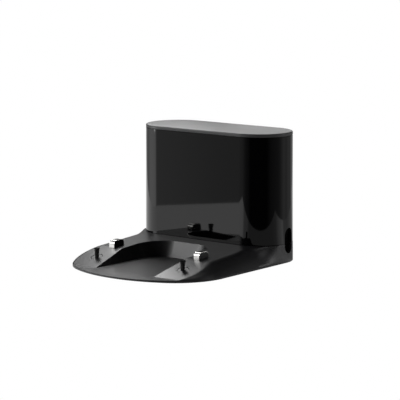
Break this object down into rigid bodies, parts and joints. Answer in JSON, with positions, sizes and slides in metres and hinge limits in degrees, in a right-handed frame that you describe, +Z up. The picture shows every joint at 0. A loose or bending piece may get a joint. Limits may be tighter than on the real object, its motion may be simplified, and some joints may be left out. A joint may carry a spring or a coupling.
{
  "type": "robot vacuum charging dock",
  "caption": "Black charging dock of a robot vacuum: ramp with a caster bay, sprung charging contacts and brushes in front of a glossy oval tower.",
  "frame": {"origin": "on the floor, in the middle of the dock's footprint", "axes": "+Z up, +Y to the back where the tower stands, +X to the dock's right seen from the front"},
  "size_m": [0.1314, 0.154, 0.0998],
  "materials": {
    "base_plastic": "fine satin grain, black",
    "cover_plastic": "coarse matte, black",
    "shell_gloss": "polished black",
    "cap_plastic": "fine matte grain, black",
    "housing_plastic": "matte, black",
    "inlet_plastic": "satin, black",
    "pin_metal": "nickel plated",
    "board_laminate": "solder mask, green",
    "bobbin_tape": "polyester tape, yellow",
    "ferrite": "ferrite, dark grey",
    "capacitor_sleeve": "shrink sleeve, dark blue",
    "fuse_ceramic": "glazed, off white",
    "heat_sink_aluminium": "mill finish",
    "moulding_compound": "moulding compound, black",
    "header_plastic": "natural nylon",
    "screw_steel": "zinc plated",
    "emitter_epoxy": "clear dark epoxy",
    "shade_plastic": "matte, black",
    "weight_steel": "plain cast iron",
    "foot_rubber": "matte, dark grey",
    "lead_insulation": "vinyl insulation, red",
    "contact_metal": "nickel plated spring bronze",
    "carrier_plastic": "satin, black",
    "spring_steel": "drawn wire",
    "holder_plastic": "satin, black",
    "bristle_nylon": "nylon bristles, black"
  },
  "bodies": {
    "dock": {"base_moulding": "base_plastic", "beacon_board": "board_laminate", "beacon_emitters": "emitter_epoxy", "beacon_screws": "screw_steel", "board_headers": "header_plastic", "board_screws": "screw_steel", "bottom_cover": "cover_plastic", "brush_holder_left": "holder_plastic", "brush_holder_right": "holder_plastic", "brush_tuft_left": "bristle_nylon", "brush_tuft_right": "bristle_nylon", "contact_lead_left": "lead_insulation", "contact_lead_right": "lead_insulation", "contact_spring_left": "spring_steel", "contact_spring_right": "spring_steel", "contact_terminal_left": "contact_metal", "contact_terminal_right": "contact_metal", "cover_screws": "screw_steel", "emitter_shade": "shade_plastic", "fuse": "fuse_ceramic", "guide_retainer_left": "carrier_plastic", "guide_retainer_right": "carrier_plastic", "heat_sink": "heat_sink_aluminium", "housing_screws": "screw_steel", "inlet_housing": "inlet_plastic", "inlet_leads": "lead_insulation", "inlet_pins": "pin_metal", "mains_capacitor": "capacitor_sleeve", "mains_choke": "ferrite", "output_capacitors": "capacitor_sleeve", "power_board": "board_laminate", "power_transistor": "moulding_compound", "rear_housing": "housing_plastic", "rubber_feet": "foot_rubber", "shell_screws": "screw_steel", "steel_weight": "weight_steel", "top_cap": "cap_plastic", "tower_shell": "shell_gloss", "transformer_bobbin": "bobbin_tape", "transformer_core": "ferrite"},
    "contact_left": {"contact_strip_left": "contact_metal", "contact_carrier_left": "carrier_plastic"},
    "contact_right": {"contact_strip_right": "contact_metal", "contact_carrier_right": "carrier_plastic"}
  },
  "joints": [
    {"name": "press_contact_left", "type": "slide", "parent": "dock", "child": "contact_left", "axis": [0, 0, -1], "range_m": [0, 0.0024], "stiffness_N_per_m": 350, "springref_m": -0.002, "deforming": ["contact_spring_left"]},
    {"name": "press_contact_right", "type": "slide", "parent": "dock", "child": "contact_right", "axis": [0, 0, -1], "range_m": [0, 0.0024], "stiffness_N_per_m": 350, "springref_m": -0.002, "deforming": ["contact_spring_right"]}
  ]
}
